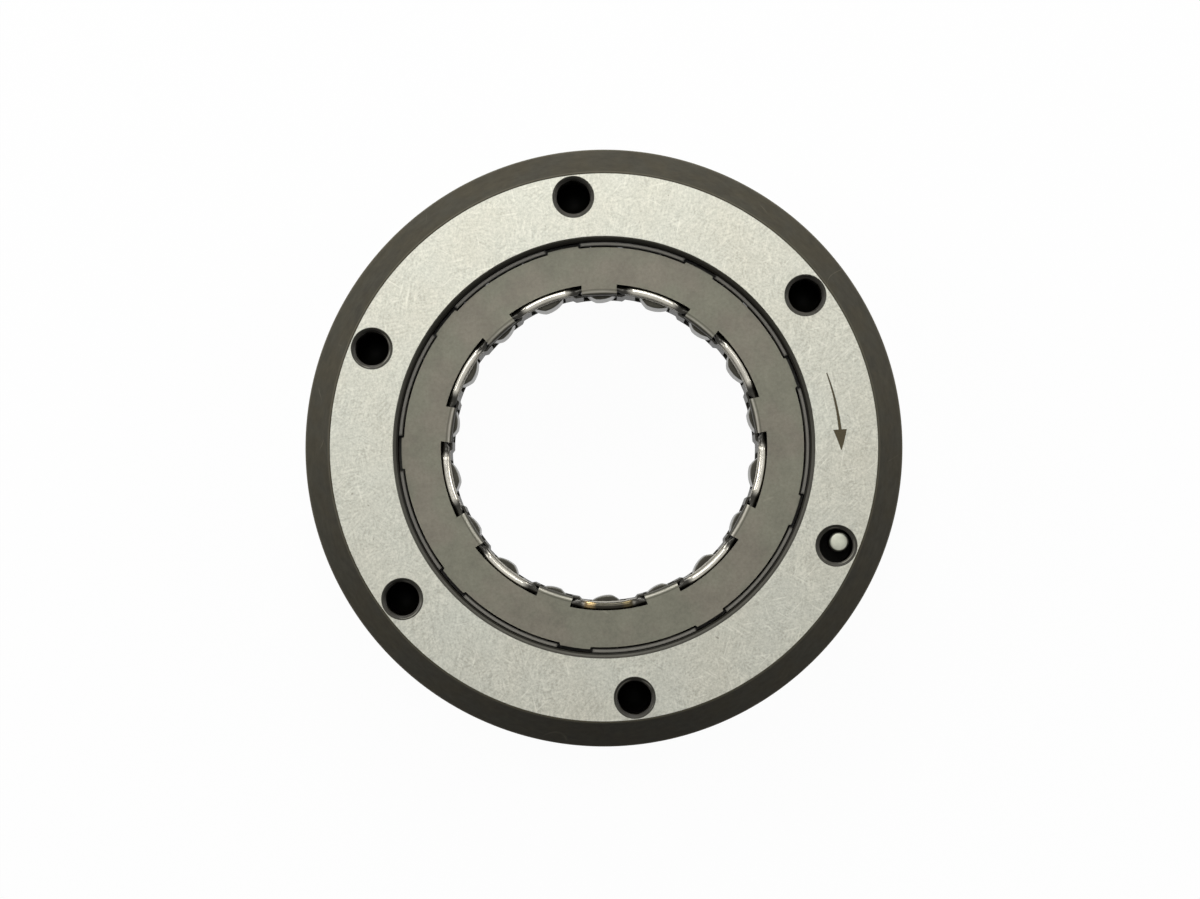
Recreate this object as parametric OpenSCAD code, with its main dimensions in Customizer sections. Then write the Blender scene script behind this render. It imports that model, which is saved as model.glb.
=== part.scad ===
// Sprag clutch: an outer ring, two pressed cages, a ribbon spring and a row of tipping sprags.
// The axis of the clutch is Z, the back face lies on Z = 0 and the ground front face is on top.
// Angles of patterns are counted clockwise from +Y, as seen from the front.

/* [Race and track] */
// Diameter of the inner race that the clutch is made for
race_d = 44.45; // [40:0.05:50]
// Radial room for the sprags, from that race to the sprag track
sprag_room = 8.33; // [8.1:0.01:8.6]

/* [Outer ring] */
// Wall of the ring, from the sprag track to the outside
ring_wall = 13.95; // [13:0.05:18]
// Width of the ring from back face to front face
ring_w = 16; // [15:0.5:20]
// Width of the dark bevel round the front
front_bevel_w = 3.7; // [2:0.1:4]
// Height of that bevel
front_bevel_h = 4.5; // [2:0.5:6]
// Size of the bevel round the back
back_bevel = 0.8; // [0.4:0.1:1.5]
// Size of the bevels at both ends of the bore
bore_bevel = 0.5; // [0.3:0.05:0.7]

/* [Bolt holes] */
// Number of holes in the front face
bolt_count = 6; // [4:1:8]
// Distance from the sprag track to the middle of a hole
hole_inset = 6.8; // [5:0.1:7]
// Bore of a tapped hole, the tap drill's size
tap_d = 5; // [4.2:0.1:5.2]
// Diameter of a hole's bevelled mouth
mouth_d = 6.05; // [5.6:0.05:6.4]
// Depth of the full bore under the bevel
tap_depth = 12; // [9:0.5:12.5]
// Angle of the cone that the drill leaves
drill_point = 118; // [90:1:140]
// Clockwise turn of the first hole from +Y
hole_turn = -7; // [-20:1:20]

/* [Locating pin] */
// Count of holes passed, clockwise from the first, to reach the one with the pin
pin_hole_count = 2; // [0:1:3]
// Diameter of the pin
pin_d = 3; // [2:0.1:3]
// Bevel at each end of the pin
pin_bevel = 0.25; // [0.1:0.05:0.4]
// How far the pin's end stays below the front face
pin_sink = 1.2; // [0.5:0.1:4]
// How far the pin stands from the middle of its hole
pin_offset = 0.74; // [0.4:0.01:0.8]
// Clockwise direction of that offset from +Y
pin_offset_turn = 37; // [0:1:90]
// Depth of the wide pocket round the pin
pin_pocket_depth = 8; // [5:0.5:10]

/* [Sprags] */
// Number of sprags, an even number
sprag_count = 18; // [16:2:18]
// Clockwise turn of the cages' first tab from +Y
cage_turn = -1.75; // [-10:0.25:10]
// Further clockwise turn of each sprag from the middle of its tab or recess
sprag_lead = 1.4; // [0:0.1:2]
// How far the free sprags stand inside the race's circle
free_reach = 0.22; // [0.1:0.01:0.3]
// Gap between the sprags and the sprag track
track_gap = 0.05; // [0.03:0.01:0.1]
// Radius of both cams
cam_r = 4.4; // [4.2:0.05:4.6]
// Sideways distance between the centres of the two cams
cam_shift = 1.2; // [1.1:0.02:1.3]
// Radius of the sprag's two heads
head_r = 2.5; // [2.3:0.05:2.6]
// Half the width over which a cam's arc runs
cam_half_w = 2; // [1.8:0.05:2.1]
// Width of the waist between the heads
waist_w = 3.4; // [3:0.1:3.8]
// Lean of the sprag from the radial line at rest
sprag_lean = 7; // [3:0.5:9]
// Length of a sprag along the axis
sprag_w = 10.1; // [9:0.1:10.1]
// How far a sprag tips back to let the race in
tip_back = 12; // [8:0.5:13]

/* [Cages] */
// How far the flange lies below the front face
cage_sink = 0.8; // [0.3:0.1:1.2]
// Thickness of the inner cage's flange
flange_t = 0.6; // [0.4:0.05:0.7]
// Gap between the flange and the outer cage's wall
flange_gap = 0.255; // [0.1:0.005:0.4]
// Thickness of the outer cage's sheet
outer_t = 0.55; // [0.4:0.05:0.6]
// Gap between the outer cage and the sprag track
outer_gap = 0.1; // [0.06:0.01:0.15]
// Outside radius of the bend at the outer cage's back
back_bend_r = 0.9; // [0.7:0.05:1.5]
// Gap between the race and the inner cage's wall
race_gap = 0.275; // [0.2:0.005:0.4]
// Thickness of the inner cage's wall
inner_wall_t = 0.3; // [0.25:0.05:0.3]
// Distance from the wall's inner face to the circle along the flange's recesses
recess_inset = 1.7; // [1.5:0.05:1.9]
// How far a tab's leg stands outside the wall's inner face
tab_step = 0.02; // [0.01:0.01:0.1]
// Width of a tab
tab_w = 5.2; // [4.4:0.1:5.6]
// Outside radius of a tab's bend
bend_r = 0.73; // [0.65:0.01:0.75]
// Width of a lug at the flange's outer edge
lug_w = 4.4; // [3.5:0.1:4.8]
// How far a lug stands out from the flange
lug_h = 0.35; // [0.28:0.01:0.4]
// How much wider a lug is at its root, to each side
lug_taper = 0.25; // [0:0.05:0.4]
// How far the outer cage's rim lies below the flange
rim_drop = 0.1; // [0:0.05:0.3]
// Gap between a lug's root and each side of its notch in the outer cage's rim
lug_gap = 0.2; // [0.1:0.05:0.3]
// Depth of a notch
notch_depth = 1.5; // [0.8:0.1:1.6]
// Gap between a sprag and the edge of its window
window_gap = 0.15; // [0.1:0.01:0.2]
// Gap between the inner cage's wall and the parts beside it and in front of it
cage_gap = 0.05; // [0.03:0.01:0.1]

/* [Ribbon spring] */
// Radial width of the rolled front rail behind a tab
rail_w = 0.7; // [0.5:0.05:0.75]
// Height of the rail there
rail_h = 0.8; // [0.75:0.05:0.95]
// Gap between the inner cage's wall and the rail behind a tab
rail_gap = 0.4; // [0.39:0.01:0.5]
// Gap between the sprags and the rail in front of them
front_gap = 0.55; // [0.5:0.05:0.6]
// Radial width of a lobe of the rail
lobe_w = 1.1; // [0.9:0.05:1.15]
// Gap between a lobe and the edge of the recess round it
lobe_gap = 0.18; // [0.1:0.01:0.3]
// How far the top of a lobe lies below the top of the flange
lobe_sink = 0.2; // [0:0.05:0.3]
// How far the centre of a lobe lies from the axis
lobe_shift = 8; // [5:0.5:8]
// Half the angle, seen from the axis, that a lobe fills
lobe_half_angle = 10.8; // [10:0.1:11]
// Height of the plain back rail
back_rail_h = 0.45; // [0.3:0.05:0.5]
// Thickness of the strip in its cross bars and tongues
strip_t = 0.25; // [0.15:0.05:0.3]
// Width of a cross bar
bar_w = 1.6; // [1.2:0.1:1.8]
// Length of a tongue along the axis
tongue_len = 5; // [3:0.5:7]
// Gap between a tongue and its sprag at rest
tongue_gap = 0.05; // [0.03:0.01:0.1]
// Angle through which a tongue curls
tongue_curl = 110; // [70:5:130]

/* [Hidden] */
$fn = 96;
// Joined bodies share this much, and a cutting body runs this far past a face
tiny = 0.01;
past = 1;
function two_digits(i) = str(i < 10 ? "0" : "", i);
function sprag_name(i) = str("sprag_", two_digits(i));

// Ring and holes
race_r = race_d / 2;
bore_r = race_r + sprag_room;
ring_r = bore_r + ring_wall;
face_r = ring_r - front_bevel_w;
bolt_circle_r = bore_r + hole_inset;
mouth_h = (mouth_d - tap_d) / 2;
drill_h = tap_d / 2 / tan(drill_point / 2);
pin_top = ring_w - pin_sink;
pin_hole_turn = hole_turn + pin_hole_count * 360 / bolt_count;

// Stations of the tabs and recesses, and of the sprags, which lead them a little
pitch = 360 / sprag_count;
half_count = sprag_count / 2;
function station(i) = cage_turn + pitch * i;
function sprag_station(i) = station(i) + sprag_lead;

// Cam centres of a sprag at rest, with its station on +Y
outer_cam_r = bore_r - track_gap - cam_r;
inner_cam_r = race_r - free_reach + cam_r;
outer_cam = [cam_shift / 2, sqrt(outer_cam_r ^ 2 - (cam_shift / 2) ^ 2)];
inner_cam = [-cam_shift / 2, sqrt(inner_cam_r ^ 2 - (cam_shift / 2) ^ 2)];

// The heads' circles meet the cams where the cams' arcs end
cam_drop = sqrt(cam_r ^ 2 - cam_half_w ^ 2) - sqrt(head_r ^ 2 - cam_half_w ^ 2);
head_span = outer_cam[1] - inner_cam[1] + 2 * cam_drop;
sprag_mid = (outer_cam[1] + inner_cam[1]) / 2;

// The waist is a pair of hollows tangent to both heads
half_span = head_span / 2;
half_waist = waist_w / 2;
hollow_r = (half_span ^ 2 + half_waist ^ 2 - head_r ^ 2) / (2 * (head_r - half_waist));
hollow_x = half_waist + hollow_r;
tangent_share = head_r / (head_r + hollow_r);
tangent_x = hollow_x * tangent_share;
tangent_y = half_span * (1 - tangent_share);

// Heights of the cage set, from the front face down
flange_top = ring_w - cage_sink;
flange_under = flange_top - flange_t;
rail_top = flange_under - window_gap;
rail_bottom = rail_top - rail_h;
sprag_top = rail_bottom - front_gap;
sprag_bottom = sprag_top - sprag_w;
back_rail_top = sprag_bottom - window_gap;
back_rail_bottom = back_rail_top - back_rail_h;
back_inside = back_rail_bottom - window_gap;
cage_bottom = back_inside - outer_t;
window_bottom = sprag_bottom - window_gap / 2;
window_top = sprag_top + window_gap / 2;
rim_top = flange_top - rim_drop;
inner_rim_top = rail_bottom - cage_gap;
lobe_top = flange_top - lobe_sink;

// Radii of the cage set
outer_cage_r = bore_r - outer_gap;
outer_cage_in = outer_cage_r - outer_t;
inner_wall_r = race_r + race_gap;
inner_wall_out = inner_wall_r + inner_wall_t;
back_flange_in = inner_wall_out + cage_gap;
flange_r = outer_cage_in - flange_gap;
tab_leg = inner_wall_r + tab_step;
tab_edge = tab_leg + bend_r;
recess_r = inner_wall_r + recess_inset;
notch_w = lug_w + 2 * (lug_taper + lug_gap);
rail_r = inner_wall_out + rail_gap + rail_w / 2;

// A window is as wide as the head that sweeps through it between rest and tipped back. Its low and high
// edges are measured from the sprag's own station.
lean = [sin(sprag_lean), cos(sprag_lean)] * half_span;
outer_head = [0, sprag_mid] + lean;
inner_head = [0, sprag_mid] - lean;
outer_high = head_side(tipped(outer_head), outer_cage_in, 1) + window_gap;
outer_low = head_side(outer_head, outer_cage_in, -1) - window_gap;
inner_high = head_side(inner_head, inner_wall_out, 1) + window_gap;
inner_low = head_side(tipped(inner_head), inner_wall_out, -1) - window_gap;

// A point of the sprag after it tips back about the centre of its outer cam
function tipped(p) = outer_cam + [
    (p[0] - outer_cam[0]) * cos(tip_back) + (p[1] - outer_cam[1]) * sin(tip_back),
    (p[1] - outer_cam[1]) * cos(tip_back) - (p[0] - outer_cam[0]) * sin(tip_back)
];

// Where the flank of a head crosses a cage's sheet
function head_side(head, sheet_r, side) = head[0] + side * sqrt(head_r ^ 2 - (head[1] - sheet_r) ^ 2);

// Lobes of the front rail: each is an arc about its own centre, from one tab to the next
lobe_r = recess_r - lobe_gap - lobe_w / 2 - lobe_shift;
lobe_end_r = lobe_shift * cos(lobe_half_angle) + sqrt(lobe_r ^ 2 - (lobe_shift * sin(lobe_half_angle)) ^ 2);
lobe_turn = asin(lobe_end_r * sin(lobe_half_angle) / lobe_r);

// The plain stretches of the rail run this angle into the lobes
rail_overlap = 0.3;

// A cross bar stands halfway between two windows, half a pitch before the middle of its sprag's window
bar_turn = asin((inner_low + inner_high) / 2 / inner_wall_r) - pitch / 2;
strip_r = rail_r - rail_w / 2;

// The tongue's curve starts at the bar's edge and ends tangent to the sprag's inner head
head_turn = atan2(inner_head[0], inner_head[1]) - bar_turn;
head_from_bar = norm(inner_head) * [sin(head_turn), cos(head_turn)] - [bar_w / 2, strip_r];
head_reach = head_r + tongue_gap;
tongue_r = (head_from_bar * head_from_bar - head_reach ^ 2) / (2 * (head_reach + head_from_bar[1]));
tongue_bottom = sprag_bottom + (sprag_w - tongue_len) / 2;

module turned(angle) {
    rotate([0, 0, -angle]) children();
}

module at_each(count, first) {
    for (i = [0 : count - 1]) turned(first + i * 360 / count) children();
}

module tube(r_out, r_in, z0, z1) {
    translate([0, 0, z0]) difference() {
        cylinder(r = r_out, h = z1 - z0);
        translate([0, 0, -past]) cylinder(r = r_in, h = z1 - z0 + 2 * past);
    }
}

// A box in front of the axis on +Y, from one radius to another
module radial_box(x0, x1, y0, y1, z0, z1) {
    translate([x0, y0, z0]) cube([x1 - x0, y1 - y0, z1 - z0]);
}

// Part of a ring about the axis, filling an angle to both sides of +Y
module arc_about_y(half_angle) {
    rotate([0, 0, 90 - half_angle]) rotate_extrude(angle = 2 * half_angle) children();
}

// Outer ring

module ring_blank() {
    rotate_extrude() polygon([
        [bore_r + bore_bevel, 0],
        [ring_r - back_bevel, 0],
        [ring_r, back_bevel],
        [ring_r, ring_w - front_bevel_h],
        [face_r, ring_w],
        [bore_r + bore_bevel, ring_w],
        [bore_r, ring_w - bore_bevel],
        [bore_r, bore_bevel]
    ]);
}

// The cone of the bevel runs on past the face, at 45 degrees
module hole_mouth() {
    translate([0, 0, ring_w - mouth_h])
        cylinder(r1 = tap_d / 2, r2 = mouth_d / 2 + past, h = mouth_h + past);
}

module tapped_hole() {
    hole_mouth();
    translate([0, 0, ring_w - mouth_h - tap_depth]) {
        cylinder(d = tap_d, h = tap_depth + tiny);
        translate([0, 0, -drill_h]) cylinder(r1 = 0, r2 = tap_d / 2, h = drill_h);
    }
}

module hole_place(i) {
    turned(hole_turn + i * 360 / bolt_count) translate([0, bolt_circle_r, 0]) children();
}

module pin_place() {
    hole_place(pin_hole_count)
        turned(pin_offset_turn - pin_hole_turn)
            translate([0, pin_offset, 0])
                children();
}

module pin_pocket() {
    hole_mouth();
    translate([0, 0, ring_w - pin_pocket_depth]) cylinder(d = tap_d, h = pin_pocket_depth - mouth_h + tiny);
}

module pin_bore() {
    translate([0, 0, -past]) cylinder(d = pin_d, h = ring_w - pin_pocket_depth + 2 * past);
}

module outer_ring() {
    color("#b9b7ab") difference() {
        ring_blank();
        for (i = [0 : bolt_count - 1]) if (i != pin_hole_count) hole_place(i) tapped_hole();
        hole_place(pin_hole_count) pin_pocket();
        pin_place() pin_bore();
    }
}

module locating_pin() {
    color("#c9c6b4") pin_place() rotate_extrude() polygon([
        [0, 0],
        [pin_d / 2 - pin_bevel, 0],
        [pin_d / 2, pin_bevel],
        [pin_d / 2, pin_top - pin_bevel],
        [pin_d / 2 - pin_bevel, pin_top],
        [0, pin_top]
    ]);
}

// Outer cage

// A quarter ring of sheet, from the back flange up to the wall
module back_bend() {
    intersection() {
        difference() {
            circle(r = back_bend_r);
            circle(r = back_bend_r - outer_t);
        }
        translate([0, -back_bend_r]) square(back_bend_r);
    }
}

module outer_cage() {
    color("#8d8b84") difference() {
        union() {
            tube(outer_cage_r, outer_cage_in, cage_bottom + back_bend_r - tiny, rim_top);
            tube(outer_cage_r - back_bend_r + tiny, back_flange_in, cage_bottom, back_inside);
            rotate_extrude() translate([outer_cage_r - back_bend_r, cage_bottom + back_bend_r]) back_bend();
        }
        at_each(sprag_count, sprag_station(0))
            radial_box(outer_low, outer_high, outer_cage_in - past, bore_r, window_bottom, window_top);
        at_each(half_count, station(-0.5))
            radial_box(-notch_w / 2, notch_w / 2, outer_cage_in - past, bore_r,
                       rim_top - notch_depth, ring_w);
    }
}

// Inner cage

module lug_outline() {
    intersection() {
        circle(r = flange_r + lug_h);
        polygon([
            [-lug_w / 2 - lug_taper, flange_r - lug_h],
            [lug_w / 2 + lug_taper, flange_r - lug_h],
            [lug_w / 2, flange_r + lug_h],
            [-lug_w / 2, flange_r + lug_h]
        ]);
    }
}

module flange_outline() {
    difference() {
        union() {
            circle(r = flange_r);
            at_each(half_count, station(-0.5)) lug_outline();
        }
        difference() {
            circle(r = recess_r);
            at_each(half_count, station(0))
                translate([-tab_w / 2, tab_edge]) square([tab_w, recess_r]);
        }
    }
}

// Section of a tab's bend and its leg, drawn with the radius along X and the height along Y
module tab_section() {
    intersection() {
        difference() {
            union() {
                translate([tab_edge, flange_top - bend_r]) circle(r = bend_r);
                translate([tab_leg, window_top]) square([inner_wall_t, flange_top - bend_r - window_top]);
            }
            translate([tab_leg + inner_wall_t, 0]) square([bend_r, flange_under]);
        }
        translate([tab_leg, 0]) square([bend_r + tiny, flange_top]);
    }
}

module inner_cage() {
    color("#85837a") difference() {
        union() {
            translate([0, 0, flange_under]) linear_extrude(flange_t) flange_outline();
            tube(inner_wall_out, inner_wall_r, cage_bottom, inner_rim_top);
            at_each(half_count, station(0))
                translate([-tab_w / 2, 0, 0]) rotate([90, 0, 90]) linear_extrude(tab_w) tab_section();
        }
        at_each(sprag_count, sprag_station(0))
            radial_box(inner_low, inner_high, inner_wall_r - past, inner_wall_out + past,
                       window_bottom, window_top);
    }
}

// Ribbon spring

// An upright bar with a round top, which stands on the rail's bottom
module round_topped(w, top) {
    translate([-w / 2, rail_bottom]) square([w, top - w / 2 - rail_bottom]);
    translate([0, top - w / 2]) circle(d = w);
}

// The round end of a lobe, a post with a domed top
module lobe_end() {
    translate([0, 0, rail_bottom]) cylinder(d = lobe_w, h = lobe_top - lobe_w / 2 - rail_bottom);
    translate([0, 0, lobe_top - lobe_w / 2]) sphere(d = lobe_w);
}

module front_rail() {
    plain_half = pitch - lobe_half_angle;
    at_each(half_count, station(0))
        arc_about_y(plain_half + rail_overlap) translate([rail_r, 0]) round_topped(rail_w, rail_top);
    at_each(half_count, station(1)) translate([0, lobe_shift, 0]) {
        arc_about_y(lobe_turn) translate([lobe_r, 0]) round_topped(lobe_w, lobe_top);
        for (side = [-1, 1]) turned(side * lobe_turn) translate([0, lobe_r, 0]) lobe_end();
    }
}

// A strip that curls from the edge of a cross bar to the flank of the next sprag
module tongue() {
    translate([bar_w / 2, strip_r + tongue_r, tongue_bottom])
        rotate([0, 0, -90])
            rotate_extrude(angle = tongue_curl)
                translate([tongue_r - strip_t, 0])
                    square([strip_t, tongue_len]);
}

module ribbon_spring() {
    color("#d6d4c8") {
        front_rail();
        tube(rail_r + rail_w / 2, strip_r, back_rail_bottom, back_rail_top);
        at_each(sprag_count, sprag_station(0) + bar_turn) {
            radial_box(-bar_w / 2, bar_w / 2 + tiny, strip_r, strip_r + strip_t,
                       back_rail_top - tiny, rail_bottom + tiny);
            tongue();
        }
    }
}

// Sprags, each drawn with its own station on +Y and then turned to its place

module sprag_outline() {
    intersection() {
        translate(outer_cam) circle(r = cam_r);
        translate(inner_cam) circle(r = cam_r);
        translate([0, sprag_mid]) rotate(-sprag_lean) union() {
            for (side = [-1, 1]) translate([0, side * half_span]) circle(r = head_r);
            difference() {
                square([2 * tangent_x, 2 * tangent_y], center = true);
                for (side = [-1, 1]) translate([side * hollow_x, 0]) circle(r = hollow_r);
            }
        }
    }
}

module sprag(i) {
    color("#6e6c66") turned(sprag_station(i - 1))
        translate([0, 0, sprag_bottom]) linear_extrude(sprag_w) sprag_outline();
}

outer_ring();
locating_pin();
outer_cage();
inner_cage();
ribbon_spring();
for (i = [1 : sprag_count])
    sprag(i);
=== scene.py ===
"""Looks of a sprag clutch: its rounded and threaded pieces, their steels, an etched arrow and a plain studio."""
import math
from functools import partialmethod

import bmesh
import bpy
import numpy as np
from bpy.props import FloatProperty, FloatVectorProperty, IntProperty, PointerProperty
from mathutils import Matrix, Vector


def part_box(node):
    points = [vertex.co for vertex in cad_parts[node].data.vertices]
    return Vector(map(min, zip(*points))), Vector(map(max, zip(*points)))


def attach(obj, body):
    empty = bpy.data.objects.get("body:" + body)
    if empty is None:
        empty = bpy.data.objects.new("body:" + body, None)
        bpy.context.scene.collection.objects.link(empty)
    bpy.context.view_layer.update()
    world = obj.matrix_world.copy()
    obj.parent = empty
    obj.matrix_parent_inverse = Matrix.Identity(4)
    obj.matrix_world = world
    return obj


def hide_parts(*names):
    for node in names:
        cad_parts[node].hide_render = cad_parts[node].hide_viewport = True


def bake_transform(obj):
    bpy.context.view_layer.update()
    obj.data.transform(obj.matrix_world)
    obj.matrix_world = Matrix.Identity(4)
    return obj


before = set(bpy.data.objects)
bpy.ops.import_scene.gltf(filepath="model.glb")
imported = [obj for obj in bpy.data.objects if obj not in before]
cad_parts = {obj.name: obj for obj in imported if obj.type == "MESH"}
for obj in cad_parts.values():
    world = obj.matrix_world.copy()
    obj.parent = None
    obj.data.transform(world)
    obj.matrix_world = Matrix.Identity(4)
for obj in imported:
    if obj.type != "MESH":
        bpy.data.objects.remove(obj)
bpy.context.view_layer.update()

bl_info = {
    "name": "Sprag Clutch",
    "version": (2, 0, 0),
    "blender": (4, 5, 0),
    "location": "View3D > Sidebar > Clutch",
    "description": "Pieces, steels, mark and studio of a one-way sprag clutch",
    "category": "Object",
}

MM = 0.001
PI = math.pi
WHOLE_TURN = 2 * PI


def turn(degrees):
    return math.radians(degrees)


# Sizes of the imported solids, as in their source. Turns are counted clockwise from +Y, as seen from the front.
RING_R, FACE_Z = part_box("outer_ring")[1].xz
FACE_R = RING_R - 3.7 * MM
FRONT_BEVEL_H = 4.5 * MM
BACK_BEVEL = 0.8 * MM
TRACK_R = 30.555 * MM
BORE_BEVEL = 0.5 * MM
HOLE_COUNT = 6
HOLE_CIRCLE_R = 37.355 * MM
FIRST_HOLE = turn(-7)
TAP_R = 2.5 * MM
MOUTH_R = 3.025 * MM
TAP_FLOOR = 3.475 * MM
TAP_POINT = 1.973 * MM
PIN_HOLE = 2
PIN_R = 1.5 * MM
PIN_FLOOR = 8 * MM
PIN_SHIFT = 0.74 * MM
PIN_TURN = turn(37)
SPRAGS = 18
LOBES = 9
LOBE_PITCH = WHOLE_TURN / LOBES
SPRAG_STATION = turn(-0.35)
RECESS_STATION = turn(18.25)
FLANGE_Z = 15.2 * MM
JOINT_STATION = RECESS_STATION + 4 * LOBE_PITCH
WALL_TOP = 13.6 * MM
LUG_STATION = turn(-11.75)
NOTCH_HALF = turn(4.75)


def length_setting(name, description, default, low=0.0, high=100.0):
    """A length setting, given in millimetres"""
    return FloatProperty(name=name, description=description, default=default * MM, unit="LENGTH",
                         min=low * MM, max=high * MM)


def share_setting(name, description, default, low=0.0, high=1.0):
    return FloatProperty(name=name, description=description, default=default, subtype="FACTOR", min=low, max=high)


def angle_setting(name, description, degrees, high=360):
    return FloatProperty(name=name, description=description, default=turn(degrees), subtype="ANGLE",
                         min=0, max=turn(high))


def power_setting(name, description, watts):
    return FloatProperty(name=name, description=description, default=watts, unit="POWER", min=0)


def colour_setting(name, description, *rgb):
    return FloatVectorProperty(name=name, description=description, default=rgb, subtype="COLOR", min=0, max=1)


class ClutchShape(bpy.types.PropertyGroup):
    """Fine sizes of the modelled pieces"""
    edge_round: length_setting("Ring edges", "Radius of the rounding along the ring's edges", 0.15, 0.02, 0.3)
    thread_pitch: length_setting("Thread pitch", "Pitch of the tapped holes' thread", 1, 0.5, 1.5)
    thread_r: length_setting("Thread radius", "Radius at the bottom of the thread's groove", 3, 2.7, 3)
    thread_turns: IntProperty(
        name="Thread turns", description="Number of turns of thread in each tapped hole", default=8, min=2, max=10)
    sprag_round: length_setting("Sprag edges", "Radius of the rounding round a sprag's ends", 0.2, 0.05, 0.4)
    strip_round: length_setting("Strip edges", "Radius of the rounding along the strip's edges", 0.07, 0.02, 0.1)
    pin_crown: length_setting("Pin crown", "Height of the slightly domed end of the pin", 0.12, 0, 0.3)


def polar(radius, angle, height):
    """Points at a radius, a clockwise angle from +Y and a height, which may be arrays"""
    radius, angle, height = np.broadcast_arrays(radius, angle, height)
    return np.stack([radius * np.sin(angle), radius * np.cos(angle), height], axis=-1)


def radius_and_turn(x, y):
    """Distance of flat points from the axis, and their clockwise angle from +Y"""
    return np.hypot(x, y), np.arctan2(x, y)


def local(station, x, y, height):
    """Points given sideways and outwards on a station's radial line"""
    radius, angle = radius_and_turn(x, y)
    return polar(radius, angle + station, height)


def lathed(path, angles):
    """A path of radius and height carried round the axis"""
    return polar(path[:, :1], angles, path[:, 1:])


def around(columns):
    """Evenly spaced angles, without the last, which would be the first again"""
    return np.arange(columns) * WHOLE_TURN / columns


def smooth(low, high, value):
    """0 below low, 1 above high, and a smooth S between them"""
    share = np.clip((value - low) / (high - low), 0, 1)
    return share * share * (3 - 2 * share)


def rounded(corners, radius, steps=5):
    """A flat path whose inner corners are arcs, tangent to the sides that meet there, each cut into steps"""
    corners = np.asarray(corners, float)
    radius = np.broadcast_to(radius, len(corners) - 2)
    path = [corners[:1]]
    for before, corner, after, r in zip(corners, corners[1:], corners[2:], radius):
        one, two = (side / np.linalg.norm(side) for side in (before - corner, after - corner))
        half = math.acos(np.clip(one @ two, -1, 1)) / 2
        middle = corner + (one + two) / np.linalg.norm(one + two) * r / math.sin(half)
        first, last = (corner + side * r / math.tan(half) - middle for side in (one, two))
        sweep = PI - 2 * half
        share = np.linspace(0, 1, steps + 1)[:, None]
        arc = (first * np.sin((1 - share) * sweep) + last * np.sin(share * sweep)) / math.sin(sweep)
        path += [(middle + first + one * r * 0.3)[None], middle + arc, (middle + last + two * r * 0.3)[None]]
    path.append(corners[-1:])
    return np.concatenate(path)


def add_object(name, data):
    made = bpy.data.objects.new(name, data)
    bpy.context.collection.objects.link(made)
    return made


def new_piece(name, mesh, materials):
    """A piece with its mesh and its materials"""
    for material in materials:
        mesh.materials.append(material)
    piece = add_object(name, mesh)
    return piece


def stand_in(piece, body, node):
    """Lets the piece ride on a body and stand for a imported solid"""
    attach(piece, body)
    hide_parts(node)


SHARP_EDGE = turn(32)
MERGE_GAP = 0.001 * MM


class Shell:
    """Gathers grids of points into one closed mesh: their shared borders are merged and normals turned out"""

    def __init__(self):
        self.points, self.quads, self.finishes = [], [], []
        self.count = 0

    def grid(self, points, finish=0, closed=False):
        """Adds quads between the rows and columns of points; closed joins each row's end to its start"""
        rows, columns = points.shape[:2]
        index = self.count + np.arange(rows * columns).reshape(rows, columns)
        if closed:
            index = np.concatenate([index, index[:, :1]], axis=1)
        quads = np.stack([index[:-1, :-1], index[:-1, 1:], index[1:, 1:], index[1:, :-1]], axis=-1).reshape(-1, 4)
        self.points.append(points.reshape(-1, 3))
        self.quads.append(quads)
        self.finishes.append(np.full(len(quads), finish, np.int32))
        self.count += rows * columns
        return self

    def piece(self, name, slot, materials):
        """The piece, smooth but for its sharp edges. A gap in its surface is an error"""
        mesh = bpy.data.meshes.new(name)
        mesh.from_pydata(np.concatenate(self.points), [], np.concatenate(self.quads))
        mesh.polygons.foreach_set("material_index", np.concatenate(self.finishes))
        merged = bmesh.new()
        merged.from_mesh(mesh)
        bmesh.ops.remove_doubles(merged, verts=merged.verts, dist=MERGE_GAP)
        bmesh.ops.recalc_face_normals(merged, faces=merged.faces)
        open_edges = sum(not edge.is_manifold for edge in merged.edges)
        if open_edges:
            raise RuntimeError(f"{name} has {open_edges} open edges")
        merged.to_mesh(mesh)
        merged.free()
        mesh.polygons.foreach_set("use_smooth", np.ones(len(mesh.polygons), bool))
        mesh.set_sharp_from_angle(angle=SHARP_EDGE)
        return new_piece(name, mesh, materials)


# Ring: finishes 0 ground face, 1 hardened skin, 2 sprag track, 3 inside of the holes
COLUMNS = 360
SECTOR = WHOLE_TURN / HOLE_COUNT
SIDE_STEPS = 12
ARC_STEPS = COLUMNS // HOLE_COUNT
GROUND, SKIN, TRACK, HOLE = range(4)
# Where the rows of a holed sector lie, from the hole to the border
SECTOR_ROWS = 0, 0.03, 0.15, 0.35, 0.6, 0.8, 0.93, 0.98, 1
# Heights in the cone of a hole's mouth, and the rows for each turn of thread
CONE_ROWS = FACE_Z - 0.1 * MM, FACE_Z - 0.25 * MM
THREAD_ROWS = 7
MOUTH_LIP = 0.05 * MM


def sector_border(inner_r, outer_r):
    """Turns and radii round a sector of a ring: its outer arc, one side, its inner arc and the other side"""
    arc = np.linspace(-SECTOR / 2, SECTOR / 2, ARC_STEPS + 1)[:-1]
    side = np.linspace(outer_r, inner_r, SIDE_STEPS + 1)[:-1]
    angle = np.concatenate([arc, np.full(SIDE_STEPS, SECTOR / 2), -arc, np.full(SIDE_STEPS, -SECTOR / 2)])
    radius = np.concatenate([np.full(ARC_STEPS, outer_r), side, np.full(ARC_STEPS, inner_r),
                             inner_r + outer_r - side])
    return angle, radius


BORDER_COUNT = 2 * (ARC_STEPS + SIDE_STEPS)
HOLE_ANGLES = WHOLE_TURN * (np.arange(BORDER_COUNT) - ARC_STEPS / 2) / BORDER_COUNT


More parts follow.
